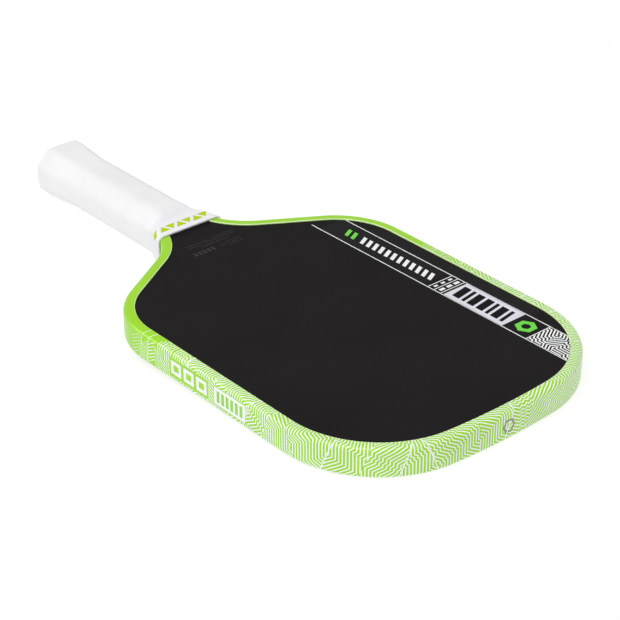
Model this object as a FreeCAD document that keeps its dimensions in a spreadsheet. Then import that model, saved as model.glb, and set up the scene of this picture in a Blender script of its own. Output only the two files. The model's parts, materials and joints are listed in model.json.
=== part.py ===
import FreeCAD, Part
import math
import os

import Sketcher
from FreeCAD import Placement, Rotation, Vector

# Pickleball paddle, millimetres.  The origin is the centre of the butt end face, +Y runs
# along the handle to the tip of the head, and +Z is the normal of the front face.

SIZES = {
    # Head outline, measured on the outside of the edge guard
    "overall_length": 414.0,
    "head_half_width": 97.8,
    "tip_radius": 467.0,
    "corner_radius": 66.0,
    "shoulder_radius": 51.7,
    "shoulder_y": 223.1,
    "neck_radius": 45.04,
    "neck_centre_x": 63.16,
    "neck_centre_y": 120.0,
    # Edge guard, a U channel over the rim
    "guard_half_thickness": 9.2,
    "guard_rounding": 2.6,
    "guard_web": 1.5,
    "guard_lip_reach": 6.75,
    "lip_bevel": 0.35,
    "guard_end_y": 122.0,
    "tape_thickness": 0.4,
    "tape_half_width": 7.0,
    # Layers of the sandwich, from the faces inwards
    "face_half_thickness": 8.2,
    "skin_thickness": 0.3,
    "ply_thickness": 0.3,
    "film_thickness": 0.15,
    "core_half_thickness": 7.45,
    "rim_wrap_thickness": 0.6,
    "edge_foam_width": 9.0,
    "cell_across_flats": 8.0,
    "cell_wall": 0.4,
    "core_start_y": 152.0,
    "step_y": 118.0,
    "tongue_half_width": 13.0,
    "tongue_start_y": 8.0,
    # Handle shells, two halves of an octagon around the tongue
    "shell_half_width": 16.2,
    "shell_half_thickness": 14.0,
    "shell_corner": 7.7,
    "shell_start_y": 3.1,
    "shell_end_y": 121.0,
    "shell_gap": 0.1,
    "recess_height": 8.25,
    "recess_start_y": 7.8,
    "neck_recess_y": 117.7,
    "neck_recess_half_width": 16.4,
    "toe_end_y": 140.2,
    "toe_start_half_width": 8.5,
    "toe_start_height": 12.6,
    "toe_end_half_width": 14.8,
    "toe_end_height": 9.35,
    # Butt cap, flared and hollow, and its badge
    "cap_half_width": 18.4,
    "cap_half_thickness": 15.4,
    "cap_corner": 9.2,
    "cap_edge_bevel": 0.5,
    "cap_bevel_y": 1.0,
    "cap_flare_y": 5.0,
    "cap_rim_half_width": 17.0,
    "cap_rim_half_thickness": 14.8,
    "cap_rim_corner": 7.9,
    "cap_rim_y": 26.0,
    "cap_floor": 3.0,
    "cap_bore_gap": 0.1,
    "badge_radius": 11.0,
    "badge_thickness": 1.3,
    "badge_recess_radius": 11.1,
    # Staples of flat wire
    "staple_half_crown": 4.0,
    "staple_wire": 0.5,
    "staple_leg": 4.6,
    "staple_y": 18.0,
    "staple_top": 14.95,
    "grip_staple_half_crown": 3.0,
    "grip_staple_y": 12.0,
    "grip_staple_top": 17.8,
    # Cushioned grip, flared over the cap
    "grip_half_width": 18.0,
    "grip_half_thickness": 15.8,
    "grip_corner": 8.5,
    "grip_flare_y": 30.0,
    "butt_half_width": 20.2,
    "butt_half_thickness": 17.2,
    "butt_corner": 10.3,
    "butt_edge_bevel": 0.7,
    "butt_edge_y": 2.4,
    "grip_start_y": 1.4,
    "grip_gap": 0.05,
    "grip_thin_y": 117.6,
    "grip_full_y": 116.0,
    "grip_thinning": 0.6,
    "grip_end_y": 121.4,
    # Finishing tape round the end of the grip
    "end_tape_thickness": 0.3,
    "end_tape_start_y": 118.4,
    # Rubber collar between the grip and the head
    "collar_start_y": 118.0,
    "collar_ring_y": 122.0,
    "collar_end_y": 140.5,
    "collar_half_width": 18.6,
    "collar_half_thickness": 16.3,
    "collar_corner": 8.7,
    "collar_ring_half_width": 19.2,
    "collar_ring_half_thickness": 16.1,
    "collar_bell_y": 127.0,
    "collar_bell_half_width": 20.5,
    "collar_bell_half_thickness": 12.6,
    "collar_bell_corner": 4.6,
    "collar_mouth_half_width": 24.3,
    "collar_mouth_half_thickness": 10.5,
    "collar_mouth_corner": 2.0,
    "collar_bore_half_width": 17.9,
    "collar_bore_half_thickness": 15.7,
    "collar_bore_corner": 8.4,
    "collar_ring_bore_half_width": 18.2,
    "collar_ring_bore_half_thickness": 15.55,
    "collar_bell_bore_half_width": 19.5,
    "collar_bell_bore_half_thickness": 11.8,
    "collar_bell_bore_corner": 4.2,
    "collar_mouth_bore_half_width": 23.3,
    "collar_mouth_bore_half_thickness": 9.4,
    "collar_mouth_bore_corner": 1.6,
    # How far a cut runs past the solid that it opens
    "overcut": 4.0,
}

# Insets of the nested outlines from the outside of the edge guard
TAPE_INSET = "guard_web"
WRAP_INSET = "guard_web tape_thickness"
SANDWICH_INSET = "guard_web tape_thickness rim_wrap_thickness"
CORE_INSET = SANDWICH_INSET + " edge_foam_width"

ORIGIN_POINT = (-1, 1)

# Tolerances for telling edges apart, and the least volume that a cut has to take away
LEVEL_TOLERANCE = 1e-4
LIP_TOLERANCE = 0.5
END_MARGIN = 1.0
LEAST_CUT = 0.01

doc = FreeCAD.newDocument("PickleballPaddle")


def make_sheet():
    """Put every driving dimension in a spreadsheet cell with an alias."""
    sheet = doc.addObject("Spreadsheet::Sheet", "Sizes")
    for row, (alias, number) in enumerate(SIZES.items(), 1):
        sheet.set(f"A{row}", alias)
        sheet.set(f"B{row}", str(number))
        sheet.setAlias(f"B{row}", alias)
    doc.recompute()


# A length is written as a few aliases, each with its sign: "overall_length -guard_web".

def split_term(term):
    """Give the sign and the alias of one term."""
    if term.startswith("-"):
        return -1, term[1:]
    return 1, term


def value(terms):
    """The length in millimetres."""
    pairs = [split_term(term) for term in terms.split()]
    return sum(sign * SIZES[alias] for sign, alias in pairs)


def formula(terms):
    """The same length as an expression on the spreadsheet."""
    pairs = [split_term(term) for term in terms.split()]
    text = "".join(f" {'-' if sign < 0 else '+'} Sizes.{alias}" for sign, alias in pairs)
    return f"1 mm * (0{text})"


def negate(terms):
    """The opposite length."""
    flipped = [term[1:] if term.startswith("-") else "-" + term for term in terms.split()]
    return " ".join(flipped)


def bind(thing, path, terms):
    """Bind a property to the spreadsheet."""
    thing.setExpression(path, formula(terms))


def make_body(label):
    """One sub-part as a PartDesign body."""
    body = doc.addObject("PartDesign::Body", label)
    body.Label = label
    return body


def origin_plane(body, role):
    """One of the body's own origin planes."""
    return next(plane for plane in body.Origin.OriginFeatures if plane.Role == role)


def make_sketch(body, name, role, height=None):
    """A sketch on an origin plane, moved along the plane's normal by a bound length."""
    sketch = body.newObject("Sketcher::SketchObject", name)
    sketch.AttachmentSupport = [(origin_plane(body, role), "")]
    sketch.MapMode = "FlatFace"
    if height:
        sketch.AttachmentOffset = Placement(Vector(0, 0, value(height)), Rotation())
        bind(sketch, ".AttachmentOffset.Base.z", height)
    return sketch


def across(body, name, station):
    """A sketch across the paddle at the given distance from the butt end."""
    return make_sketch(body, name, "XZ_Plane", negate(station) if station else None)


def dimension(sketch, kind, items, terms):
    """Add a dimension and bind it to the spreadsheet."""
    index = sketch.addConstraint(Sketcher.Constraint(kind, *items, abs(value(terms))))
    bind(sketch, f"Constraints[{index}]", terms)


def pin(sketch, kind, point, side, terms):
    """Hold a point at a signed distance from the sketch's origin along one axis."""
    ends = (ORIGIN_POINT, point) if side > 0 else (point, ORIGIN_POINT)
    dimension(sketch, kind, (*ends[0], *ends[1]), terms)


def add_polygon(sketch, corners):
    """Closed polygon; a corner is (x side, x terms, y side, y terms)."""
    points = [Vector(sx * value(x), sy * value(y), 0) for sx, x, sy, y in corners]
    first = sketch.GeometryCount
    count = len(points)
    for i in range(count):
        sketch.addGeometry(Part.LineSegment(points[i], points[(i + 1) % count]), False)
    for i in range(count):
        sketch.addConstraint(
            Sketcher.Constraint("Coincident", first + i, 2, first + (i + 1) % count, 1)
        )
    for i, (sx, x, sy, y) in enumerate(corners):
        for kind, side, terms in (("DistanceX", sx, x), ("DistanceY", sy, y)):
            if terms:
                pin(sketch, kind, (first + i, 1), side, terms)
            else:
                axis = -1 if kind == "DistanceY" else -2
                sketch.addConstraint(
                    Sketcher.Constraint("PointOnObject", first + i, 1, axis)
                )


def octagon(sketch, half_width, half_thickness, corner):
    """Rectangle with its four corners cut off at 45 degrees."""
    flat = f"{half_width} {negate(corner)}"
    wall = f"{half_thickness} {negate(corner)}"
    add_polygon(sketch, [
        (1, half_width, 1, wall),
        (1, flat, 1, half_thickness),
        (-1, flat, 1, half_thickness),
        (-1, half_width, 1, wall),
        (-1, half_width, -1, wall),
        (-1, flat, -1, half_thickness),
        (1, flat, -1, half_thickness),
        (1, half_width, -1, wall),
    ])
    return sketch


def rectangle(sketch, half_width, low, high, side=1):
    """Rectangle centred on the first axis between two distances along the second."""
    add_polygon(sketch, [
        (-1, half_width, side, low),
        (1, half_width, side, low),
        (1, half_width, side, high),
        (-1, half_width, side, high),
    ])
    return sketch


def outline_marks():
    """Centres and tangent directions that every nested outline shares."""
    tip = Vector(0, value("overall_length -tip_radius"), 0)
    corner_x = value("head_half_width -corner_radius")
    rise = math.sqrt(value("tip_radius -corner_radius") ** 2 - corner_x ** 2)
    corner = Vector(corner_x, tip.y + rise, 0)
    shoulder = Vector(value("head_half_width -shoulder_radius"), value("shoulder_y"), 0)
    neck = Vector(value("neck_centre_x"), value("neck_centre_y"), 0)
    span = neck - shoulder
    swing = math.acos(value("shoulder_radius neck_radius") / span.Length)
    slope = math.atan2(span.y, span.x) + swing
    return {
        "tip": tip,
        "corner": corner,
        "shoulder": shoulder,
        "neck": neck,
        "tip_angle": math.atan2(rise, corner_x),
        "slope": slope,
    }


def side_arc(side, centre, radius, start, end):
    """Arc given for the +X side, mirrored for the other."""
    if side < 0:
        centre = Vector(-centre.x, centre.y, 0)
        start, end = math.pi - end, math.pi - start
    return Part.ArcOfCircle(Part.Circle(centre, Vector(0, 0, 1), radius), start, end)


def on_circle(centre, radius, angle, side=1):
    """Point on a circle given for the +X side."""
    x = centre.x + radius * math.cos(angle)
    return Vector(side * x, centre.y + radius * math.sin(angle), 0)


def outline_side(side, inset, end):
    """Corner arc, side, shoulder arc, shoulder line and neck arc of one side, in order."""
    marks = outline_marks()
    corner, shoulder, neck = marks["corner"], marks["shoulder"], marks["neck"]
    slope = marks["slope"]
    half_width = value("head_half_width") - inset
    shoulder_radius = value("shoulder_radius") - inset
    neck_radius = value("neck_radius") + inset
    last = math.pi - math.asin((end - neck.y) / neck_radius)
    return [
        side_arc(side, corner, value("corner_radius") - inset, 0, marks["tip_angle"]),
        Part.LineSegment(
            Vector(side * half_width, corner.y, 0), Vector(side * half_width, shoulder.y, 0)
        ),
        side_arc(side, shoulder, shoulder_radius, slope, 0),
        Part.LineSegment(
            on_circle(shoulder, shoulder_radius, slope, side),
            on_circle(neck, neck_radius, slope + math.pi, side),
        ),
        side_arc(side, neck, neck_radius, slope + math.pi, last),
    ]


def tip_arc(inset):
    """The long gentle arc across the tip."""
    marks = outline_marks()
    start = marks["tip_angle"]
    return side_arc(1, marks["tip"], value("tip_radius") - inset, start, math.pi - start)


def constrain_side(sketch, side, first, inset):
    """Join one side's five curves tangentially and give them their dimensions."""
    corner, edge, shoulder, slope, neck = range(first, first + 5)
    start, end = (1, 2) if side > 0 else (2, 1)
    joints = [
        (0, start if side > 0 else 2, corner, end),
        (corner, start, edge, 1),
        (edge, 2, shoulder, end),
        (shoulder, start, slope, 1),
        (slope, 2, neck, start),
    ]
    for joint in joints:
        sketch.addConstraint(Sketcher.Constraint("Tangent", *joint))
    sketch.addConstraint(Sketcher.Constraint("Vertical", edge))
    pin(sketch, "DistanceX", (edge, 1), side, f"head_half_width {negate(inset)}")
    pin(sketch, "DistanceY", (shoulder, 3), 1, "shoulder_y")
    pin(sketch, "DistanceX", (neck, 3), side, "neck_centre_x")
    pin(sketch, "DistanceY", (neck, 3), 1, "neck_centre_y")
    dimension(sketch, "Radius", (corner,), f"corner_radius {negate(inset)}")
    dimension(sketch, "Radius", (shoulder,), f"shoulder_radius {negate(inset)}")
    dimension(sketch, "Radius", (neck,), f"neck_radius {inset}")


def close_with(sketch, corners, right_neck, left_neck):
    """Close the outline from the right neck arc to the left one through the corners."""
    right = sketch.Geometry[right_neck].EndPoint
    left = sketch.Geometry[left_neck].StartPoint
    points = [Vector(side * value(x), value(y), 0) for side, x, y in corners]
    path = [right, *points, left]
    first = sketch.GeometryCount
    for near, far in zip(path, path[1:]):
        sketch.addGeometry(Part.LineSegment(near, far), False)
    last = sketch.GeometryCount - 1
    sketch.addConstraint(Sketcher.Constraint("Coincident", right_neck, 2, first, 1))
    sketch.addConstraint(Sketcher.Constraint("Coincident", last, 2, left_neck, 1))
    for line in range(first, last):
        sketch.addConstraint(Sketcher.Constraint("Coincident", line, 2, line + 1, 1))
    for number, (side, x, y) in enumerate(corners):
        pin(sketch, "DistanceX", (first + number, 2), side, x)
        pin(sketch, "DistanceY", (first + number, 2), 1, y)


def outline(body, name, inset, end, height=None, tongue=False):
    """Closed outline of the head, inset from the guard, with or without the tongue."""
    sketch = make_sketch(body, name, "XY_Plane", height)
    depth = value(inset) if inset else 0.0
    sketch.addGeometry(tip_arc(depth), False)
    sketch.addConstraint(Sketcher.Constraint("PointOnObject", 0, 3, -2))
    dimension(sketch, "Radius", (0,), f"tip_radius {negate(inset)}")
    pin(sketch, "DistanceY", (0, 3), -1, "tip_radius -overall_length")
    firsts = []
    for side in (1, -1):
        firsts.append(sketch.GeometryCount)
        for curve in outline_side(side, depth, value(end)):
            sketch.addGeometry(curve, False)
        constrain_side(sketch, side, firsts[-1], inset)
    right_neck, left_neck = firsts[0] + 4, firsts[1] + 4
    corners = []
    if tongue:
        corners = [
            (1, "tongue_half_width", end),
            (1, "tongue_half_width", "tongue_start_y"),
            (-1, "tongue_half_width", "tongue_start_y"),
            (-1, "tongue_half_width", end),
        ]
    close_with(sketch, corners, right_neck, left_neck)
    pin(sketch, "DistanceY", (right_neck, 2), 1, end)
    pin(sketch, "DistanceY", (left_neck, 1), 1, end)
    return sketch


def pad(body, sketch, length, name="Pad", reverse=False, middle=False):
    """Extrude a sketch; with middle it grows by length to both sides."""
    feature = body.newObject("PartDesign::Pad", name)
    feature.Profile = sketch
    set_extent(feature, length, reverse, middle)
    return feature


def pocket(body, sketch, length, name="Pocket", reverse=False, middle=False):
    """Cut a sketch's area out of the body, and check that it did cut."""
    doc.recompute()
    before = body.Shape.Volume
    feature = body.newObject("PartDesign::Pocket", name)
    feature.Profile = sketch
    set_extent(feature, length, reverse, middle)
    doc.recompute()
    if not body.Shape.Volume < before - LEAST_CUT:
        raise ValueError(f"{body.Label}: {name} cut nothing")
    return feature


def set_extent(feature, length, reverse, middle):
    """Length, direction and symmetry of a pad or pocket."""
    feature.Length = value(length)
    if middle:
        feature.SideType = "Symmetric"
        length = f"{length} {length}"
    feature.Reversed = reverse
    bind(feature, "Length", length)


def loft(body, sketches, name, subtractive=False):
    """Ruled loft through the sketches."""
    kind = "PartDesign::SubtractiveLoft" if subtractive else "PartDesign::AdditiveLoft"
    feature = body.newObject(kind, name)
    feature.Profile = sketches[0]
    feature.Sections = sketches[1:]
    feature.Ruled = True
    return feature


def matching_edges(feature, test):
    """Names of the feature's edges that pass the test."""
    doc.recompute()
    edges = enumerate(feature.Shape.Edges, 1)
    return [f"Edge{number}" for number, edge in edges if test(edge)]


def flat_edge_at(edge, height):
    """True for an edge that lies at plus or minus the given height."""
    box = edge.BoundBox
    return box.ZLength < LEVEL_TOLERANCE and abs(abs(box.ZMin) - height) < LEVEL_TOLERANCE


def octagon_stack(body, name, stations):
    """Octagon sketches across the paddle; a station is (y, width, thickness, corner)."""
    sketches = []
    for number, (station, half_width, half_thickness, corner) in enumerate(stations):
        sketch = across(body, f"{name}{number}", station)
        sketches.append(octagon(sketch, half_width, half_thickness, corner))
    return sketches


# Head: sandwich layers, core, rim and edge guard

def make_layer(label, side, outer, thickness):
    """One flat layer of the sandwich, with its tongue, on the side of +Z or -Z."""
    body = make_body(label)
    height = negate(outer) if side < 0 else f"{outer} {negate(thickness)}"
    sketch = outline(body, "LayerOutline", SANDWICH_INSET, "step_y", height, tongue=True)
    pad(body, sketch, thickness)


def make_layers():
    """Outer skin, inner ply and adhesive film of both faces."""
    layers = [
        ("face_skin", "face_half_thickness", "skin_thickness"),
        ("inner_ply", "face_half_thickness -skin_thickness", "ply_thickness"),
        ("adhesive_film", "core_half_thickness film_thickness", "film_thickness"),
    ]
    for name, outer, thickness in layers:
        make_layer(f"front_{name}", 1, outer, thickness)
        make_layer(f"back_{name}", -1, outer, thickness)


def make_rim_ring(label, outer_inset, inner_inset, half_height, end):
    """A band that follows the outline, open at the neck."""
    body = make_body(label)
    pad(body, outline(body, "OuterOutline", outer_inset, end), half_height, middle=True)
    cut_end = f"{end} -overcut"
    inner = outline(body, "InnerOutline", inner_inset, cut_end)
    pocket(body, inner, half_height, middle=True)


def make_edge_guard():
    """U channel: rounded outside, lips over both faces, open at the neck."""
    body = make_body("edge_guard")
    rounded = pad(
        body, outline(body, "GuardOutline", "", "guard_end_y"),
        "guard_half_thickness", "GuardPad", middle=True,
    )
    half = value("guard_half_thickness")
    end = value("guard_end_y")
    rim_edges = matching_edges(
        rounded, lambda edge: flat_edge_at(edge, half) and above_end(edge, end)
    )
    fillet = body.newObject("PartDesign::Fillet", "OuterRounding")
    fillet.Base = (rounded, rim_edges)
    fillet.Radius = value("guard_rounding")
    bind(fillet, "Radius", "guard_rounding")
    channel = outline(body, "ChannelOutline", TAPE_INSET, "guard_end_y -overcut")
    pocket(body, channel, "face_half_thickness", "Channel", middle=True)
    opening = outline(body, "OpeningOutline", "guard_lip_reach", "guard_end_y -overcut")
    opened = pocket(body, opening, "guard_half_thickness", "Opening", middle=True)
    # The lips' inner edges are the only flat ones left at full height beside the ends.
    lip_edges = matching_edges(opened, lambda edge: is_lip_edge(edge, half, end))
    bevel = body.newObject("PartDesign::Chamfer", "LipBevel")
    bevel.Base = (opened, lip_edges)
    bevel.Size = value("lip_bevel")
    bind(bevel, "Size", "lip_bevel")


def above_end(edge, end):
    """True for an edge that reaches beyond the guard's square ends."""
    return edge.BoundBox.YMax > end + END_MARGIN


def is_lip_edge(edge, half, end):
    """True for the inner edge of a lip, at full height and inside the outline."""
    if not flat_edge_at(edge, half) or not above_end(edge, end):
        return False
    middle = edge.valueAt((edge.FirstParameter + edge.LastParameter) / 2)
    return lip_distance(middle) < LIP_TOLERANCE


def lip_distance(point):
    """Distance in plan from a point to the lips' inner outline."""
    depth = value("guard_lip_reach")
    curves = [tip_arc(depth)]
    for side in (1, -1):
        curves += outline_side(side, depth, value("guard_end_y"))
    wire = Part.Compound([curve.toShape() for curve in curves])
    return wire.distToShape(Part.Vertex(point.x, point.y, 0))[0]


def make_handle_core():
    """Dense foam in the throat and the tongue, below the honeycomb."""
    body = make_body("handle_core")
    sketch = outline(body, "CoreOutline", SANDWICH_INSET, "step_y", tongue=True)
    pad(body, sketch, "core_half_thickness", middle=True)
    above = make_sketch(body, "AboveThroat", "XY_Plane")
    rectangle(above, "head_half_width", "core_start_y", "overall_length")
    pocket(body, above, "core_half_thickness", middle=True)


def make_foam_edge():
    """Foam wall along the rim between the honeycomb and the carbon wrap."""
    make_rim_ring(
        "foam_edge_wall", SANDWICH_INSET, CORE_INSET, "core_half_thickness", "core_start_y"
    )


def hexagon(x, y, across_flats):
    """Closed wire of one cell with two sides parallel to Y."""
    reach = across_flats / math.sqrt(3)
    angles = [math.radians(30 + 60 * i) for i in range(7)]
    return Part.makePolygon(
        [Vector(x + reach * math.cos(a), y + reach * math.sin(a), 0) for a in angles]
    )


def make_honeycomb():
    """Plate pierced by hexagonal cells; cells that the boundary would cut stay full."""
    inset, start = value(CORE_INSET), value("core_start_y")
    curves = [tip_arc(inset), *outline_side(1, inset, start), *outline_side(-1, inset, start)]
    edges = [curve.toShape() for curve in curves]
    throat = sorted((v.Point for edge in edges for v in edge.Vertexes), key=lambda p: p.y)
    edges.append(Part.makeLine(throat[0], throat[1]))
    boundary = Part.Wire(Part.__sortEdges__(edges))
    plate = Part.Face(boundary)
    flats, wall = value("cell_across_flats"), value("cell_wall")
    pitch = flats + wall
    row_step = pitch * math.sqrt(3) / 2
    room = flats / math.sqrt(3) + wall
    box = plate.BoundBox
    cells = []
    for row in range(int(box.YLength / row_step) + 1):
        y = box.YMin + row_step * row
        shift = pitch / 2 * (row % 2)
        columns = int(box.XMax / pitch) + 1
        for column in range(-columns, columns + 1):
            x = pitch * column + shift
            centre = Vector(x, y, 0)
            if not plate.isInside(centre, LEVEL_TOLERANCE, True):
                continue
            if boundary.distToShape(Part.Vertex(centre))[0] > room:
                cells.append(hexagon(x, y, flats))
    half = value("core_half_thickness")
    pierced = Part.makeFace([boundary, *cells], "Part::FaceMakerCheese")
    feature = doc.addObject("Part::Feature", "honeycomb_core")
    feature.Label = "honeycomb_core"
    feature.Shape = pierced.extrude(Vector(0, 0, 2 * half))
    feature.Placement = Placement(Vector(0, 0, -half), Rotation())
    print("honeycomb cells:", len(cells))


# Handle: shells, cap, grip, collar and fasteners

def make_handle_shell(label, side):
    """Half of the handle's octagon, recessed for the tongue, with a toe on the face."""
    body = make_body(label)
    half = across(body, "HalfOctagon", "shell_start_y")
    flat = "shell_half_width -shell_corner"
    wall = "shell_half_thickness -shell_corner"
    add_polygon(half, [
        (1, "shell_half_width", side, ""),
        (1, "shell_half_width", side, wall),
        (1, flat, side, "shell_half_thickness"),
        (-1, flat, side, "shell_half_thickness"),
        (-1, "shell_half_width", side, wall),
        (-1, "shell_half_width", side, ""),
    ])
    pad(body, half, "shell_end_y -shell_start_y", "HalfHandle", reverse=True)
    recess = across(body, "TongueRecess", "recess_start_y")
    rectangle(recess, "tongue_half_width shell_gap", "", "recess_height", side)
    pocket(body, recess, "shell_end_y -recess_start_y", "Recess")
    neck = across(body, "NeckRecess", "neck_recess_y")
    rectangle(neck, "neck_recess_half_width", "", "recess_height", side)
    pocket(body, neck, "shell_end_y -neck_recess_y", "NeckCut")
    toe_root = rectangle(
        across(body, "ToeRoot", "shell_end_y"),
        "toe_start_half_width", "recess_height", "toe_start_height", side,
    )
    toe_tip = rectangle(
        across(body, "ToeTip", "toe_end_y"),
        "toe_end_half_width", "recess_height", "toe_end_height", side,
    )
    loft(body, [toe_root, toe_tip], "Toe")


def make_butt_cap():
    """Flared cup over the ends of the shells, with a recess for the badge."""
    body = make_body("butt_cap")
    bevelled = ("cap_half_width -cap_edge_bevel", "cap_half_thickness -cap_edge_bevel")
    full = ("cap_half_width", "cap_half_thickness", "cap_corner")
    rim = ("cap_rim_half_width", "cap_rim_half_thickness", "cap_rim_corner")
    stations = [
        ("", *bevelled, "cap_corner"),
        ("cap_bevel_y", *full),
        ("cap_flare_y", *full),
        ("cap_rim_y", *rim),
    ]
    loft(body, octagon_stack(body, "CapSection", stations), "CapLoft")
    bore = across(body, "Bore", "cap_floor")
    octagon(
        bore, "shell_half_width cap_bore_gap", "shell_half_thickness cap_bore_gap", "shell_corner"
    )
    pocket(body, bore, "cap_rim_y -cap_floor", "CapBore")
    recess = across(body, "BadgeRecess", "")
    circle = Part.Circle(Vector(), Vector(0, 0, 1), value("badge_recess_radius"))
    recess.addGeometry(circle, False)
    recess.addConstraint(Sketcher.Constraint("Coincident", 0, 3, *ORIGIN_POINT))
    dimension(recess, "Radius", (0,), "badge_recess_radius")
    pocket(body, recess, "badge_thickness", "Recess")


def make_butt_badge():
    """Blank disc glued in the cap's recess, level with the end face."""
    badge = doc.addObject("Part::Cylinder", "butt_badge")
    badge.Label = "butt_badge"
    bind(badge, "Radius", "badge_radius")
    bind(badge, "Height", "badge_thickness")
    badge.Placement = Placement(Vector(), Rotation(Vector(1, 0, 0), -90))


def add_staple(sketch, half_crown, top, flip=False):
    """U of flat wire whose crown is at the given height and whose legs point inwards."""
    inner = f"{half_crown} -staple_wire"
    crown = f"{top} -staple_wire"
    foot = f"{top} -staple_leg"
    corners = [
        (1, half_crown, 1, foot),
        (1, half_crown, 1, top),
        (-1, half_crown, 1, top),
        (-1, half_crown, 1, foot),
        (-1, inner, 1, foot),
        (-1, inner, 1, crown),
        (1, inner, 1, crown),
        (1, inner, 1, foot),
    ]
    if flip:
        corners = [(sy, y, sx, x) for sx, x, sy, y in corners]
    add_polygon(sketch, corners)


def make_staples():
    """Two staples through the cap's broad walls, and one that starts the grip."""
    body = make_body("butt_staples")
    body.AllowCompound = True
    sketch = across(body, "StapleWire", "staple_y")
    add_staple(sketch, "staple_half_crown", "staple_top")
    front = pad(body, sketch, "staple_wire", "FrontStaple")
    doc.recompute()
    back = body.newObject("PartDesign::Mirrored", "BackStaple")
    back.Originals = [front]
    back.MirrorPlane = (origin_plane(body, "XY_Plane"), [""])
    body.Tip = back
    body = make_body("grip_start_staple")
    sketch = across(body, "GripStapleWire", "grip_staple_y")
    add_staple(sketch, "grip_staple_half_crown", "grip_staple_top", flip=True)
    pad(body, sketch, "staple_wire", "GripStaple")


def make_grip():
    """Cushioned wrap as one closed sleeve over the cap and the shells."""
    body = make_body("grip_wrap")
    flared = ("butt_half_width", "butt_half_thickness", "butt_corner")
    edge = ("butt_half_width -butt_edge_bevel", "butt_half_thickness -butt_edge_bevel")
    full = ("grip_half_width", "grip_half_thickness", "grip_corner")
    thin = tuple(f"{half} -grip_thinning" for half in full[:2])
    outside = [
        ("grip_start_y", *edge, "butt_corner"),
        ("butt_edge_y", *flared),
        ("cap_flare_y", *flared),
        ("grip_flare_y", *full),
        ("grip_full_y", *full),
        ("grip_thin_y", *thin, "grip_corner"),
        ("grip_end_y", *thin, "grip_corner"),
    ]
    loft(body, octagon_stack(body, "GripSection", outside), "GripLoft")
    doc.recompute()
    over_cap = ("cap_half_width grip_gap", "cap_half_thickness grip_gap", "cap_corner")
    rim = ("cap_rim_half_width grip_gap", "cap_rim_half_thickness grip_gap", "cap_rim_corner")
    shell = ("shell_half_width grip_gap", "shell_half_thickness grip_gap", "shell_corner")
    inside = [
        ("grip_start_y", *over_cap),
        ("cap_flare_y", *over_cap),
        ("cap_rim_y", *rim),
        ("cap_rim_y cap_bore_gap", *shell),
        ("grip_end_y", *shell),
    ]
    loft(body, octagon_stack(body, "BoreSection", inside), "GripBore", subtractive=True)


def make_end_tape():
    """Thin tape round the thinned end of the grip, under the collar."""
    body = make_body("grip_end_tape")
    inner = [f"grip_half_{way} -grip_thinning" for way in ("width", "thickness")]
    outer = [f"{half} end_tape_thickness" for half in inner]
    length = "grip_end_y -end_tape_start_y"
    outside = octagon(across(body, "TapeOutside", "end_tape_start_y"), *outer, "grip_corner")
    pad(body, outside, length, reverse=True)
    inside = octagon(across(body, "TapeInside", "end_tape_start_y"), *inner, "grip_corner")
    pocket(body, inside, length)


def make_collar():
    """Stretched rubber sleeve from the grip's octagon to the flat throat."""
    body = make_body("collar")
    ring = ("collar_ring_half_width", "collar_ring_half_thickness", "collar_corner")
    bell = ("collar_bell_half_width", "collar_bell_half_thickness", "collar_bell_corner")
    mouth = ("collar_mouth_half_width", "collar_mouth_half_thickness", "collar_mouth_corner")
    outside = [
        ("collar_start_y", "collar_half_width", "collar_half_thickness", "collar_corner"),
        ("collar_ring_y", *ring),
        ("collar_bell_y", *bell),
        ("collar_end_y", *mouth),
    ]
    loft(body, octagon_stack(body, "CollarSection", outside), "CollarLoft")
    doc.recompute()
    bore = ("collar_bore_half_width", "collar_bore_half_thickness", "collar_bore_corner")
    ring_bore = ("collar_ring_bore_half_width", "collar_ring_bore_half_thickness")
    bell_bore = tuple(alias.replace("bell", "bell_bore") for alias in bell)
    mouth_bore = tuple(alias.replace("mouth", "mouth_bore") for alias in mouth)
    inside = [
        ("collar_start_y", *bore),
        ("collar_ring_y", *ring_bore, "collar_bore_corner"),
        ("collar_bell_y", *bell_bore),
        ("collar_end_y", *mouth_bore),
    ]
    loft(body, octagon_stack(body, "BoreSection", inside), "CollarBore", subtractive=True)


def sub_parts():
    """Every object that is a sub-part, in document order."""
    kinds = ("PartDesign::Body", "Part::Feature", "Part::Cylinder")
    return [thing for thing in doc.Objects if thing.TypeId in kinds]


def check_and_write():
    """Stop on any failed object or bad shape, then write one file per sub-part."""
    doc.recompute()
    for thing in doc.Objects:
        if "Invalid" in thing.State or "Error" in thing.State:
            raise ValueError(f"{thing.Label} failed to build")
    for thing in sub_parts():
        if thing.Shape.isNull() or not thing.Shape.isValid():
            raise ValueError(f"{thing.Label} has a bad shape")
    os.makedirs("parts", exist_ok=True)
    for thing in sub_parts():
        thing.Shape.exportStep(os.path.join("parts", thing.Label + ".step"))
        count = len(thing.Shape.Solids)
        print(f"{thing.Label}: {count} solid(s), {thing.Shape.Volume / 1000:.2f} cm3")


make_sheet()
make_layers()
make_honeycomb()
make_foam_edge()
make_rim_ring("rim_carbon_wrap", WRAP_INSET, SANDWICH_INSET, "face_half_thickness", "step_y")
make_rim_ring("guard_adhesive_tape", TAPE_INSET, WRAP_INSET, "tape_half_width", "guard_end_y")
make_edge_guard()
make_handle_core()
make_handle_shell("handle_shell_front", 1)
make_handle_shell("handle_shell_back", -1)
make_butt_cap()
make_butt_badge()
make_staples()
make_grip()
make_end_tape()
make_collar()
check_and_write()
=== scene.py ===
import json
import math
import random

import bpy
from mathutils import Matrix, Vector


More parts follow.
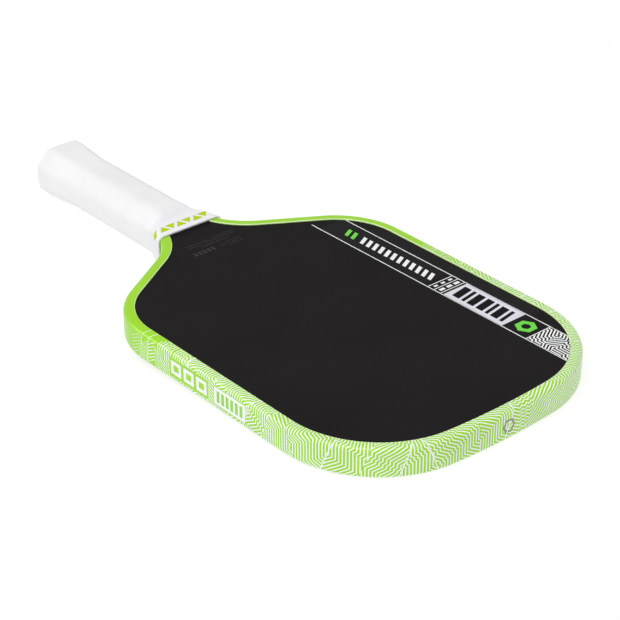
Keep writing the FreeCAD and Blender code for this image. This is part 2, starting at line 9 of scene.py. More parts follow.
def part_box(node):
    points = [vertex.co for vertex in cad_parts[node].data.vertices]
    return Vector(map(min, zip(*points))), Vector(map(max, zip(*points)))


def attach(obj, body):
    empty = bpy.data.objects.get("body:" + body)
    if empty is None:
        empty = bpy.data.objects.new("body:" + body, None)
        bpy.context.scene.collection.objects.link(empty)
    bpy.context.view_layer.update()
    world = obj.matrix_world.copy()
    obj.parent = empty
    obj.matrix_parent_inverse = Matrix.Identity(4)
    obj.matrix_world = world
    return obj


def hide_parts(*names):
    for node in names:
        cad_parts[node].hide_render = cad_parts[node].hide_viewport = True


# Pickleball paddle, metres.  +Y runs from the butt to the tip of the head and +Z is the
# normal of the front face, as in the CAD frame.

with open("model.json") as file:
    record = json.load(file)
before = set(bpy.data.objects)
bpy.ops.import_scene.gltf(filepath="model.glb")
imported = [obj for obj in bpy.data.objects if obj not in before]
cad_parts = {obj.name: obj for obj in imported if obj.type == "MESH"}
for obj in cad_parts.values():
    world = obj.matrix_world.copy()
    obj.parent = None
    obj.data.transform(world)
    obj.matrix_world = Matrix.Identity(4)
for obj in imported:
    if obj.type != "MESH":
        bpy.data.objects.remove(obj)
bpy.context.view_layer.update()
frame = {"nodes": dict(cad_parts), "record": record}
MM = 0.001

# Boxes of the CAD nodes that the pieces are built on
GUARD_LOW, GUARD_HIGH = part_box("edge_guard")
FACE_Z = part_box("front_face_skin")[1].z
GRIP_LOW, GRIP_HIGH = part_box("grip_wrap")
COLLAR_LOW, COLLAR_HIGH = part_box("collar")
CAP_LOW, CAP_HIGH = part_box("butt_cap")
BADGE_LOW, BADGE_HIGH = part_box("butt_badge")

# Guard outline: the arcs of the CAD outline, drawn in by the height of the print
PRINT_HEIGHT = 0.04 * MM
GUARD_INSET = 3 * PRINT_HEIGHT
TIP_RADIUS = 467.0 * MM
CORNER_RADIUS = 66.0 * MM
SHOULDER_RADIUS = 51.7 * MM
SHOULDER_Y = 223.1 * MM
NECK_RADIUS = 45.04 * MM
NECK_CENTRE = Vector((63.16 * MM, 120.0 * MM))
GUARD_SHORT = 3.0 * MM

# Guard section
LIP_REACH = 6.75 * MM
LIP_BEVEL = 0.35 * MM
GUARD_ROUND = 2.6 * MM
GUARD_WEB = 1.5 * MM
ROUND_STEPS = 6

# Maze print on the guard.  For each side of the head: y where the maze starts, where it covers
# the lips too, where its lines have no width and where they have their full width
MAZE_PITCH = 1.85 * MM
MAZE_LINE = 0.70 * MM
MAZE_SEED = 11
NEAR_SIDE = {"start": 196 * MM, "lips": 240 * MM, "thin": 186 * MM, "full": 266 * MM}
FAR_SIDE = {"start": 222 * MM, "lips": 226 * MM, "thin": 206 * MM, "full": 330 * MM}

# Marks on the guard's +X wall: y of the two ends of each, and of the clear space round them
WALL_BOX = (316.0 * MM, 289.5 * MM)
WALL_BLOCKS = (284.0 * MM, 250.0 * MM)
WALL_CLEAR = ((316.4 * MM, 289.1 * MM), (284.2 * MM, 249.8 * MM))
CLEAR_HALF_HEIGHT = 6.0 * MM


# Outline of the guard: s runs along it from the middle of the tip, positive towards +X

class Arc:
    """Arc of the outline; bend is -1 where its centre lies outside the head."""

    def __init__(self, centre, radius, start, end, bend=1):
        self.centre = centre
        self.radius = radius
        self.start = start
        self.end = end
        self.bend = bend
        self.length = radius * abs(end - start)
        self.step = 2.5 * MM

    def at(self, distance):
        angle = self.start + (self.end - self.start) * distance / self.length
        ray = Vector((math.cos(angle), math.sin(angle)))
        return self.centre + self.radius * ray, self.bend * ray


class Line:
    """Straight stretch of the outline."""

    def __init__(self, start, end):
        self.origin = start
        self.along = (end - start).normalized()
        self.length = (end - start).length
        self.step = 12.0 * MM

    def at(self, distance):
        return self.origin + self.along * distance, Vector((-self.along.y, self.along.x))


def half_outline():
    """The outline's curves from the middle of the tip down the +X side to the neck."""
    half_width = GUARD_HIGH.x - GUARD_INSET
    tip_radius = TIP_RADIUS - GUARD_INSET
    corner_radius = CORNER_RADIUS - GUARD_INSET
    shoulder_radius = SHOULDER_RADIUS - GUARD_INSET
    neck_radius = NECK_RADIUS + GUARD_INSET
    tip = Vector((0, GUARD_HIGH.y - TIP_RADIUS))
    corner_x = half_width - corner_radius
    rise = math.sqrt((tip_radius - corner_radius) ** 2 - corner_x ** 2)
    corner = Vector((corner_x, tip.y + rise))
    shoulder = Vector((half_width - shoulder_radius, SHOULDER_Y))
    tip_angle = math.atan2(rise, corner_x)
    span = NECK_CENTRE - shoulder
    swing = math.acos((shoulder_radius + neck_radius) / span.length)
    slope = math.atan2(span.y, span.x) + swing
    normal = Vector((math.cos(slope), math.sin(slope)))
    side_top = Vector((half_width, corner.y))
    side_end = Vector((half_width, shoulder.y))
    slope_top = shoulder + shoulder_radius * normal
    slope_end = NECK_CENTRE - neck_radius * normal
    end_y = GUARD_LOW.y + GUARD_SHORT
    last = math.pi - math.asin((end_y - NECK_CENTRE.y) / neck_radius)
    return [
        Arc(tip, tip_radius, math.pi / 2, tip_angle),
        Arc(corner, corner_radius, tip_angle, 0),
        Line(side_top, side_end),
        Arc(shoulder, shoulder_radius, 0, slope),
        Line(slope_top, slope_end),
        Arc(NECK_CENTRE, neck_radius, slope + math.pi, last, bend=-1),
    ]


CURVES = half_outline()
HALF_LENGTH = sum(curve.length for curve in CURVES)


def outline_at(s):
    """Point and outward normal in plan at distance s from the middle of the tip."""
    distance = min(abs(s), HALF_LENGTH)
    for curve in CURVES:
        if distance <= curve.length or curve is CURVES[-1]:
            break
        distance -= curve.length
    point, normal = curve.at(distance)
    side = -1 if s < 0 else 1
    return Vector((side * point.x, point.y)), Vector((side * normal.x, normal.y))


def outline_stations():
    """Distances along the whole outline, close enough together for its curves."""
    half, start = [0.0], 0.0
    for curve in CURVES:
        count = max(2, math.ceil(curve.length / curve.step))
        half += [start + curve.length * i / count for i in range(1, count + 1)]
        start += curve.length
    return [-s for s in reversed(half[1:])] + half


def outline_s(y):
    """Distance along the +X side at which the outline comes down to y."""
    low, high = 0.0, HALF_LENGTH
    for _ in range(40):
        middle = (low + high) / 2
        if outline_at(middle)[0].y > y:
            low = middle
        else:
            high = middle
    return low


# Section of the guard: t runs from the front lip's bevel over the wall to the back lip's

LIP_FLAT = LIP_REACH - LIP_BEVEL - GUARD_ROUND
QUARTER = math.pi / 2 * GUARD_ROUND
WALL = GUARD_HIGH.z - GUARD_LOW.z - 2 * GUARD_INSET - 2 * GUARD_ROUND
SECTION_LENGTH = 2 * LIP_FLAT + 2 * QUARTER + WALL
HALF_THICKNESS = WALL / 2 + GUARD_ROUND


def section_at(t):
    """Depth from the outline, height, and the two parts of the normal at distance t."""
    side = 1
    if t > SECTION_LENGTH / 2:
        t, side = SECTION_LENGTH - t, -1
    if t < LIP_FLAT:
        return -LIP_REACH + LIP_BEVEL + t, side * HALF_THICKNESS, 0, side
    if t < LIP_FLAT + QUARTER:
        angle = math.pi / 2 - (t - LIP_FLAT) / GUARD_ROUND
        out, up = math.cos(angle), math.sin(angle)
        height = HALF_THICKNESS - GUARD_ROUND + GUARD_ROUND * up
        return -GUARD_ROUND + GUARD_ROUND * out, side * height, out, side * up
    height = HALF_THICKNESS - GUARD_ROUND - (t - LIP_FLAT - QUARTER)
    return 0, side * height, 1, 0


def section_stations():
    """Distances across the guard's section that follow its roundings."""
    rounding = [LIP_FLAT + QUARTER * i / ROUND_STEPS for i in range(ROUND_STEPS + 1)]
    front = [0.0, *rounding]
    return [*front, SECTION_LENGTH / 2, *(SECTION_LENGTH - t for t in reversed(front))]


def on_guard(s, t, lift=0.0):
    """Point on the guard's outside, raised by lift."""
    point, normal = outline_at(s)
    depth, height, out, up = section_at(t)
    plan = point + normal * (depth + lift * out)
    return Vector((plan.x, plan.y, height + lift * up))


def on_front(x, y, lift=0.0):
    """Point on the front face, raised by lift."""
    return Vector((x, y, FACE_Z + lift))


def on_back(x, y, lift=0.0):
    """The same point on the back face, as if the paddle were turned over."""
    return Vector((-x, y, -FACE_Z - lift))


# Flat shapes as lists of 2D corners, cut along straight lines

def clip(polygon, normal, limit):
    """The part of a convex polygon where corner . normal is at most limit."""
    kept = []
    for i, here in enumerate(polygon):
        before = polygon[i - 1]
        inside, was_inside = here.dot(normal) - limit, before.dot(normal) - limit
        if (inside <= 0) != (was_inside <= 0):
            kept.append(before.lerp(here, was_inside / (was_inside - inside)))
        if inside <= 0:
            kept.append(here)
    return kept if len(kept) > 2 else []


def slab(polygon, normal, low, high):
    """The part of a convex polygon between two parallel lines."""
    part = clip(polygon, normal, high)
    return clip(part, -normal, -low) if part else []


def cut_along(polygons, normal, cuts):
    """Cut every polygon at each of the parallel lines."""
    pieces = []
    for polygon in polygons:
        reach = [corner.dot(normal) for corner in polygon]
        low, high = min(reach), max(reach)
        lines = [low, *(cut for cut in cuts if low < cut < high), high]
        for near, far in zip(lines, lines[1:]):
            piece = slab(polygon, normal, near, far)
            if piece:
                pieces.append(piece)
    return pieces


def area(polygon):
    """Area of a flat polygon."""
    total = sum(polygon[i - 1].cross(corner) for i, corner in enumerate(polygon))
    return abs(total) / 2


def rectangle(low_x, low_y, high_x, high_y):
    """Axis-aligned rectangle."""
    return [
        Vector((low_x, low_y)), Vector((high_x, low_y)),
        Vector((high_x, high_y)), Vector((low_x, high_y)),
    ]


def slanted(x, y, width, height, lean):
    """Bar along the first axis whose ends are shifted by lean, centred at a point."""
    half, top = width / 2, height / 2
    return [
        Vector((x - top, y - half - lean / 2)), Vector((x + top, y - half + lean / 2)),
        Vector((x + top, y + half + lean / 2)), Vector((x - top, y + half - lean / 2)),
    ]


def frame_shape(x, y, half_x, half_y, stroke):
    """Four bars round an empty rectangle."""
    return [
        rectangle(x - half_x, y - half_y, x + half_x, y - half_y + stroke),
        rectangle(x - half_x, y + half_y - stroke, x + half_x, y + half_y),
        rectangle(x - half_x, y - half_y + stroke, x - half_x + stroke, y + half_y - stroke),
        rectangle(x + half_x - stroke, y - half_y + stroke, x + half_x, y + half_y - stroke),
    ]


def regular(x, y, radius, count):
    """Regular polygon."""
    angles = [2 * math.pi * i / count for i in range(count)]
    return [Vector((x + radius * math.cos(a), y + radius * math.sin(a))) for a in angles]


def hexagon_ring(x, y, outer_radius, inner_radius):
    """Six pieces of a hexagonal ring."""
    outer, inner = regular(x, y, outer_radius, 6), regular(x, y, inner_radius, 6)
    return [[outer[i - 1], outer[i], inner[i], inner[i - 1]] for i in range(6)]


# Maze: parallel lines folded over parallel creases

DIRECTIONS = (0, 60, -60)


def direction(degrees):
    """Unit vector at an angle from the first axis."""
    angle = math.radians(degrees)
    return Vector((math.cos(angle), math.sin(angle)))


def ruled(region, across, offset, line, pitch):
    """Parallel lines over a convex region, as convex polygons."""
    reach = [corner.dot(across) + offset for corner in region]
    lines = []
    for number in range(math.floor(min(reach) / pitch), math.ceil(max(reach) / pitch) + 1):
        middle = number * pitch - offset
        band = slab(region, across, middle - line / 2, middle + line / 2)
        if band:
            lines.append(band)
    return lines


def maze(region, line, pitch, heading, crease, chance):
    """Maze lines over a convex region; a narrow fold makes every line jog."""
    fold, across, offset = direction(crease), direction(heading), 0.0
    reach = [corner.dot(fold) for corner in region]
    place = min(reach) - chance.uniform(0, 3) * pitch
    lines = []
    while place < max(reach):
        jog = chance.random() < 0.5
        step = pitch * (chance.choice((0.6, 1, 1)) if jog else chance.uniform(2.5, 6.5))
        strip = slab(region, fold, place, place + step)
        if strip:
            lines += ruled(strip, across, offset, line, pitch)
        place += step
        lean = fold.dot(across)
        offset += 2 * place * lean
        across = across - 2 * lean * fold
    return lines


def side_of(s):
    """How the maze fades on the side of the head that s is on."""
    return NEAR_SIDE if s > 0 else FAR_SIDE


def guard_line(s):
    """Width of the maze's lines: full over the tip, thinning to none at the shoulders."""
    side = side_of(s)
    drop = outline_at(s)[0].y - side["thin"]
    return MAZE_LINE * smooth(drop / (side["full"] - side["thin"]))


def maze_panels(low, high, top, chance):
    """Maze in slanted panels side by side, each with its own heading and creases."""
    lines = []
    slant = 0.0
    while low < high:
        fading = guard_line(low) < MAZE_LINE or guard_line(low + 16 * MM) < MAZE_LINE
        count = chance.randint(3, 5) if fading else chance.randint(8, 16)
        end = min(low + MAZE_PITCH * count, high)
        line = guard_line((low + end) / 2)
        heading, crease = chance.sample(DIRECTIONS, 2)
        if chance.random() < 0.4:
            heading, crease = 0, chance.choice((60, -60))
        next_slant = chance.choice((0, 1, -1)) * MAZE_PITCH * (1 if fading else 3)
        if line > MAZE_LINE / 4:
            right = [Vector((end + next_slant, top)), Vector((end - next_slant, 0.0))]
            left = [Vector((low - slant, 0.0)), Vector((low + slant, top))]
            lines += maze([*left, *right], line, MAZE_PITCH, heading, crease, chance)
            if chance.random() < 0.5:
                edge = Vector((line, 0.0))
                lines.append([right[1], right[1] + edge, right[0] + edge, right[0]])
                end += line
        low, slant = end, next_slant
    return lines


# Meshes

SMALLEST_AREA = 0.002 * MM * MM


def make_object(name, points, faces, material, smooth=True):
    """Mesh object with one material, sharp only where its faces meet at an angle."""
    mesh = bpy.data.meshes.new(name)
    mesh.from_pydata([tuple(p) for p in points], [], faces)
    mesh.validate()
    mesh.materials.append(material)
    if smooth:
        mesh.shade_smooth()
        mesh.set_sharp_from_angle(angle=math.radians(40))
    made = bpy.data.objects.new(name, mesh)
    bpy.context.scene.collection.objects.link(made)
    return made


def finish_piece(piece, slot=None, *nodes):
    """Ride on the paddle and stand for CAD nodes if any; slot is not used."""
    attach(piece, "root")
    if nodes:
        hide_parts(*nodes)
    return piece


def print_piece(name, polygons, place, level, material):
    """Thin layer of ink or moulding whose flat shapes are laid on a surface."""
    points, faces, known = [], [], {}
    for polygon in polygons:
        if area(polygon) < SMALLEST_AREA:
            continue
        loop = []
        for corner in polygon:
            key = (round(corner.x / MM, 3), round(corner.y / MM, 3))
            if key not in known:
                known[key] = len(points)
                points.append(place(corner.x, corner.y, level * PRINT_HEIGHT))
            if known[key] not in loop:
                loop.append(known[key])
        if len(loop) > 2:
            faces.append(loop)
    piece = make_object(name, points, faces, material, smooth=False)
    orient(piece, place, polygons)
    thickness = piece.modifiers.new("Thickness", "SOLIDIFY")
    thickness.thickness = 1.5 * PRINT_HEIGHT
    thickness.offset = -1
    return finish_piece(piece)


def orient(piece, place, polygons):
    """Turn the faces outwards: flip them all if the first one looks into the surface."""
    corner = polygons[0][0]
    out = place(corner.x, corner.y, MM) - place(corner.x, corner.y, 0.0)
    nearest = min(
        piece.data.polygons,
        key=lambda face: (face.center - place(corner.x, corner.y, 0.0)).length,
    )
    if nearest.normal.dot(out) < 0:
        piece.data.flip_normals()


def sweep(name, loops, material, sleeve=False):
    """Skin over a row of closed loops that have equal counts of points.

    Its two ends are capped, or in a sleeve the last loop is joined to the first.
    """
    count = len(loops[0])
    points = [point for loop in loops for point in loop]
    starts = [row * count for row in range(len(loops))]
    pairs = list(zip(starts, starts[1:]))
    if sleeve:
        pairs.append((starts[-1], starts[0]))
    faces = []
    for a, b in pairs:
        for i in range(count):
            j = (i + 1) % count
            faces.append((a + i, b + i, b + j, a + j))
    if not sleeve:
        faces.append(tuple(range(count)))
        faces.append(tuple(starts[-1] + i for i in reversed(range(count))))
    return make_object(name, points, faces, material)


# Materials

def new_material(name):
    """Material with its Principled shader, node tree and object coordinates."""
    material = bpy.data.materials.new(name)
    material.use_nodes = True
    tree = material.node_tree
    shader = tree.nodes["Principled BSDF"]
    coords = tree.nodes.new("ShaderNodeTexCoord").outputs["Object"]
    return material, tree, shader, coords


def noise(tree, coords, scale, detail=3.0):
    """Noise value with a scale in features per metre."""
    node = tree.nodes.new("ShaderNodeTexNoise")
    node.inputs["Scale"].default_value = scale
    node.inputs["Detail"].default_value = detail
    tree.links.new(coords, node.inputs["Vector"])
    return node.outputs["Fac"]


def blend_colours(tree, factor, low, high):
    """Colour between two, by a value."""
    ramp = tree.nodes.new("ShaderNodeValToRGB")
    for stop, position, colour in zip(ramp.color_ramp.elements, (0.3, 0.7), (low, high)):
        stop.position = position
        stop.color = (*colour, 1)
    tree.links.new(factor, ramp.inputs["Fac"])
    return ramp.outputs["Color"]


def map_range(tree, value, low, high):
    """Stretch a value from 0..1 to low..high."""
    node = tree.nodes.new("ShaderNodeMapRange")
    node.inputs["To Min"].default_value = low
    node.inputs["To Max"].default_value = high
    tree.links.new(value, node.inputs["Value"])
    return node.outputs["Result"]


def combine(tree, operation, first, second):
    """Math node on two values, each a socket or a number."""
    node = tree.nodes.new("ShaderNodeMath")
    node.operation = operation
    for socket, value in zip(node.inputs, (first, second)):
        if isinstance(value, (int, float)):
            socket.default_value = value
        else:
            tree.links.new(value, socket)
    return node.outputs["Value"]


def bump(tree, shader, height, depth, strength=1.0):
    """Bump of the given depth in metres, from a 0..1 height."""
    node = tree.nodes.new("ShaderNodeBump")
    node.inputs["Distance"].default_value = depth
    node.inputs["Strength"].default_value = strength
    tree.links.new(height, node.inputs["Height"])
    tree.links.new(node.outputs["Normal"], shader.inputs["Normal"])


def plain_surface(name, colour, spread, roughness, grain, depth, metallic=0.0):
    """Moulded or cast surface: faint cloudy colour, uneven gloss and fine grain."""
    material, tree, shader, coords = new_material(name)
    dark = tuple(c * (1 - spread) for c in colour)
    light = tuple(min(1.0, c * (1 + spread)) for c in colour)
    cloud = noise(tree, coords, 60.0)
    tree.links.new(blend_colours(tree, cloud, dark, light), shader.inputs["Base Color"])
    patchy = noise(tree, coords, 240.0)
    tree.links.new(
        map_range(tree, patchy, roughness * 0.85, min(1.0, roughness * 1.15)),
        shader.inputs["Roughness"],
    )
    shader.inputs["Metallic"].default_value = metallic
    bump(tree, shader, noise(tree, coords, grain, 4.0), depth)
    return material, shader


def carbon_face():
    """Raw woven carbon with peel-ply grit: twill of dark tows under a fine matt tooth."""
    material, tree, shader, coords = new_material("carbon_face")
    split = tree.nodes.new("ShaderNodeSeparateXYZ")
    tree.links.new(coords, split.inputs["Vector"])
    tow = 1.6 * MM
    column = combine(tree, "DIVIDE", split.outputs["X"], tow)
    row = combine(tree, "DIVIDE", split.outputs["Y"], tow)
    diagonal = combine(tree, "ADD", combine(tree, "FLOOR", column, 0.0),
                       combine(tree, "FLOOR", row, 0.0))
    over = combine(tree, "LESS_THAN", combine(tree, "FLOORED_MODULO", diagonal, 4.0), 2.0)
    grit = noise(tree, coords, 2600.0, 2.0)
    cloud = noise(tree, coords, 18.0)
    shade = combine(tree, "ADD", combine(tree, "MULTIPLY", over, 0.12),
                    combine(tree, "MULTIPLY", cloud, 0.9))
    colour = blend_colours(tree, shade, (0.0090, 0.0078, 0.0083), (0.0116, 0.0103, 0.0109))
    tree.links.new(colour, shader.inputs["Base Color"])
    tree.links.new(map_range(tree, grit, 0.50, 0.72), shader.inputs["Roughness"])
    shader.inputs["Specular IOR Level"].default_value = 0.06
    relief = combine(tree, "ADD", combine(tree, "MULTIPLY", over, 0.25), grit)
    bump(tree, shader, relief, 0.05 * MM, 0.5)
    return material


def guard_plastic():
    """Lime thermoplastic with a light satin gloss."""
    material, shader = plain_surface(
        "guard_plastic", (0.315, 0.665, 0.005), 0.04, 0.30, 900.0, 0.01 * MM
    )
    shader.inputs["Specular IOR Level"].default_value = 0.45
    return material


def ink(name, colour, roughness=0.42, gloss=0.5):
    """Screen-printed ink, slightly uneven; also the paint of the painted highlight on the lips'
    bevels.
    """
    material, shader = plain_surface(name, colour, 0.04, roughness, 1500.0, 0.01 * MM)
    shader.inputs["Specular IOR Level"].default_value = gloss
    return material


def grip_leather():
    """White cushioned synthetic leather with fine pores."""
    material, tree, shader, coords = new_material("grip_leather")
    cloud = noise(tree, coords, 40.0)
    tree.links.new(
        blend_colours(tree, cloud, (0.80, 0.80, 0.803), (0.84, 0.84, 0.843)),
        shader.inputs["Base Color"],
    )
    pores = tree.nodes.new("ShaderNodeTexVoronoi")
    pores.inputs["Scale"].default_value = 1100.0
    tree.links.new(coords, pores.inputs["Vector"])
    tree.links.new(
        map_range(tree, noise(tree, coords, 300.0), 0.50, 0.64), shader.inputs["Roughness"]
    )
    shader.inputs["Sheen Weight"].default_value = 0.1
    shader.inputs["Specular IOR Level"].default_value = 0.06
    bump(tree, shader, pores.outputs["Distance"], 0.05 * MM, 0.5)
    return material


def collar_rubber():
    """Soft white rubber with a dull surface."""
    material, shader = plain_surface(
        "collar_rubber", (0.82, 0.82, 0.85), 0.02, 0.5, 900.0, 0.02 * MM
    )
    shader.inputs["Specular IOR Level"].default_value = 0.10
    return material


# Colour, spread, roughness and grain of each slot whose nodes stay as they are in the CAD
INNER_FINISHES = {
    "inner_laminate": ((0.03, 0.03, 0.033), 0.10, 0.45, 700.0),
    "adhesive": ((0.70, 0.66, 0.50), 0.08, 0.50, 500.0),
    "polymer_core": ((0.80, 0.80, 0.82), 0.05, 0.45, 800.0),
    "edge_foam": ((0.72, 0.69, 0.60), 0.10, 0.90, 1500.0),
    "handle_shell": ((0.05, 0.05, 0.055), 0.10, 0.70, 1200.0),
    "finishing_tape": ((0.80, 0.80, 0.82), 0.04, 0.35, 600.0),
}


# Pieces

def guard_section():
    """Closed loop of the guard's section as (depth, height): outside, then the channel."""
    outer = [section_at(t)[:2] for t in section_stations()]
    lip = HALF_THICKNESS - LIP_BEVEL
    front = [(-LIP_REACH, FACE_Z), (-LIP_REACH, lip)]
    back = [(-LIP_REACH, -lip), (-LIP_REACH, -FACE_Z)]
    channel = [(-GUARD_WEB, -FACE_Z), (-GUARD_WEB, FACE_Z)]
    return [*front, *outer, *back, *channel]


def sweep_outline(name, section, material):
    """Sweep a closed section, given as (depth, height), along the guard's outline."""
    loops = []
    for s in outline_stations():
        point, normal = outline_at(s)
        loops.append([
            Vector((*(point + normal * depth), height)) for depth, height in section
        ])
    return sweep(name, loops, material)


def build_guard(lime):
    """Edge guard with its rounded back and two lips."""
    guard = sweep_outline("edge_guard_shell", guard_section(), lime)
    return finish_piece(guard, "guard", "edge_guard")


def build_lip_highlight(pale):
    """Pale lime strip over the inner wall and bevel of both lips: a painted highlight on the
    bevel, not print.
    """
    width = 0.05 * MM
    rise = PRINT_HEIGHT
    edge = -LIP_REACH + LIP_BEVEL
    top = HALF_THICKNESS
    bevelled = top - LIP_BEVEL
    foot = FACE_Z + 0.2 * MM
    for name, side in (("lip_highlight_front", 1), ("lip_highlight_back", -1)):
        section = [
            (-LIP_REACH - rise, foot),
            (-LIP_REACH - rise, bevelled + 0.3 * rise),
            (edge - 0.3 * rise, top + rise),
            (edge + width, top + rise),
            (edge + width, top - rise),
            (edge, top - rise),
            (-LIP_REACH + rise, bevelled),
            (-LIP_REACH + rise, foot),
        ]
        section = [(depth, side * height) for depth, height in section]
        finish_piece(sweep_outline(name, section[::side], pale))


def guard_maze(chance):
    """Maze lines over the tip and both sides, fading out towards the shoulders."""
    near = outline_s(NEAR_SIDE["start"])
    far = outline_s(FAR_SIDE["start"])
    lines = maze_panels(-far, near, SECTION_LENGTH, chance)
    lines = [line for line in lines if maze_shows(line)]
    for high_y, low_y in WALL_CLEAR:
        clear = outline_s(high_y), outline_s(low_y)
        lines = [part for line in lines for part in outside(line, *clear, CLEAR_HALF_HEIGHT)]
    along, across = Vector((1, 0)), Vector((0, 1))
    lines = cut_along(lines, across, section_stations())
    return cut_along(lines, along, outline_stations())


def outside(polygon, low, high, half_height):
    """The parts of a convex shape that lie beyond a box on the middle of the wall."""
    middle = SECTION_LENGTH / 2
    right, up = Vector((1, 0)), Vector((0, 1))
    between = slab(polygon, right, low, high)
    parts = [clip(polygon, right, low), clip(polygon, -right, -high)]
    if between:
        parts.append(clip(between, up, middle - half_height))
        parts.append(clip(between, -up, -middle - half_height))
    return [part for part in parts if part]


def maze_shows(line):
    """False on the lips near the shoulders, where the guard is plain."""
    s = sum(corner.x for corner in line) / len(line)
    t = sum(corner.y for corner in line) / len(line)
    on_wall = LIP_FLAT + QUARTER < t < SECTION_LENGTH - LIP_FLAT - QUARTER
    return on_wall or outline_at(s)[0].y > side_of(s)["lips"]


def build_guard_print(white, lime_ink, slate):
    """Maze, a box with bars, three square frames and a hexagon on the guard's wall."""
    chance = random.Random(MAZE_SEED)
    print_piece("guard_maze", guard_maze(chance), on_guard, 1, white)
    middle = SECTION_LENGTH / 2
    start, end = [outline_s(y) for y in WALL_BOX]
    half_height, bar_half_height = 5.4 * MM, 3.6 * MM
    plate = [rectangle(start, middle - half_height, end, middle + half_height)]
    print_piece("wall_box", plate, on_guard, 2, white)
    bars, count, margin = [], 6, 1.5 * MM
    pitch = (end - start - 2 * margin) / count
    for i in range(count):
        s = start + margin + pitch * (i + 0.5)
        bars.append(rectangle(s - 0.3 * pitch, middle - bar_half_height,
                              s + 0.3 * pitch, middle + bar_half_height))
    print_piece("wall_box_bars", bars, on_guard, 3, lime_ink)
    blocks, count = [], 3
    start, end = [outline_s(y) for y in WALL_BLOCKS]
    pitch = (end - start) / count
    for i in range(count):
        s = start + pitch * (i + 0.5)
        blocks += frame_shape(s, middle, 0.40 * pitch, 4.2 * MM, 2.2 * MM)
    print_piece("wall_blocks", blocks, on_guard, 2, white)
    mark = hexagon_ring(0.0, middle, 4.6 * MM, 3.3 * MM)
    print_piece("wall_mark", mark, on_guard, 2, slate)


# Octagonal sections across the handle

def octagon_loop(y, half_width, half_thickness, corner, radius, per_corner=6):
    """Rounded octagon across the paddle; corner is the cut across and the cut down."""
    flat = half_width - corner[0]
    wall = half_thickness - corner[1]
    corners = [
        (flat, half_thickness), (half_width, wall), (half_width, -wall),
        (flat, -half_thickness), (-flat, -half_thickness), (-half_width, -wall),
        (-half_width, wall), (-flat, half_thickness),
    ]
    corners = [Vector(c) for c in corners]
    loop = []
    for i, here in enumerate(corners):
        before, after = corners[i - 1], corners[(i + 1) % 8]
        incoming, outgoing = (before - here).normalized(), (after - here).normalized()
        half_angle = incoming.angle(outgoing) / 2
        reach = min(radius / math.tan(half_angle), 0.49 * min(
            (before - here).length, (after - here).length))
        bow = reach * math.tan(half_angle)
        centre = here + (incoming + outgoing).normalized() * bow / math.sin(half_angle)
        start = here + incoming * reach - centre
        end = here + outgoing * reach - centre
        sweep_angle = start.angle_signed(end)
        for k in range(per_corner + 1):
            turned = start.copy()
            turned.rotate(Matrix.Rotation(-sweep_angle * k / per_corner, 2))
            loop.append(centre + turned)
    return [Vector((p.x, y, p.y)) for p in loop]


def mix(low, high, share):
    """Value or tuple between two."""
    if isinstance(low, tuple):
        return tuple(mix(a, b, share) for a, b in zip(low, high))
    return low + (high - low) * share


def smooth(share):
    """Ease in and out between 0 and 1."""
    share = min(1.0, max(0.0, share))
    return share * share * (3 - 2 * share)


def resample(loop, count):
    """Evenly spaced points round a closed loop, from its first point on."""
    closed = [*loop, loop[0]]
    lengths = [(b - a).length for a, b in zip(closed, closed[1:])]
    total, samples, segment, walked = sum(lengths), [], 0, 0.0
    for i in range(count):
        target = total * i / count
        while walked + lengths[segment] < target:
            walked += lengths[segment]
            segment += 1
        share = (target - walked) / max(lengths[segment], 1e-12)
        samples.append(closed[segment].lerp(closed[segment + 1], share))
    return samples


def build_grip(leather):
    """Cushioned strip wound in a spiral: shallow seams, a little crown between them."""
    count, rows = 128, 300
    pitch, seam, depth, crown = 23.0 * MM, 1.1 * MM, 0.22 * MM, 0.05 * MM
    butt = (GRIP_HIGH.x, GRIP_HIGH.z, 9.4 * MM, 5.0 * MM)
    straight = (18.0 * MM, 15.8 * MM, 8.5 * MM, 9.0 * MM)
    flare_start, flare_end = 5.0 * MM, 34.0 * MM
    start, end = GRIP_LOW.y - 0.9 * MM, COLLAR_LOW.y + 2.5 * MM
    edge = 1.6 * MM
    loops = []
    for row in range(rows + 1):
        y = start + (end - start) * row / rows
        share = smooth((y - flare_start) / (flare_end - flare_start))
        half_width, half_thickness, corner, radius = mix(butt, straight, share)
        tuck = edge - math.sqrt(max(0.0, edge ** 2 - max(0.0, edge - (y - start)) ** 2))
        cuts = (corner, corner)
        ring = octagon_loop(y, half_width - tuck, half_thickness - tuck, cuts, radius)
        ring = resample(ring, count)
        for i, point in enumerate(ring):
            phase = ((y / pitch) - i / count) % 1.0
            gap = min(phase, 1 - phase) * pitch
            sink = depth * math.exp(-(gap / seam) ** 2)
            sink += crown * (1 - math.sin(math.pi * phase))
            out = Vector((point.x, 0, point.z)).normalized()
            ring[i] = point - out * sink
        loops.append(ring)
    thickness = 1.6 * MM
    inner_start = [p - Vector((p.x, 0, p.z)).normalized() * thickness for p in loops[0]]
    inner_end = [p - Vector((p.x, 0, p.z)).normalized() * thickness for p in loops[-1]]
    piece = sweep("grip_strip", [inner_start, *loops, inner_end], leather, sleeve=True)
    return finish_piece(piece, "grip", "grip_wrap")


# Collar: half width, half thickness and rounding at its start and its mouth; the octagon's
# cut at its start, then its cut across and its cut down at its mouth
COLLAR_RING = (18.1 * MM, 15.9 * MM, 9.0 * MM)
COLLAR_MOUTH = (24.3 * MM, 10.5 * MM, 4.4 * MM)
COLLAR_CUTS = (8.6 * MM, 2.4 * MM, 1.9 * MM)
BELL_START = 3 * MM
COLLAR_POINTS = 240


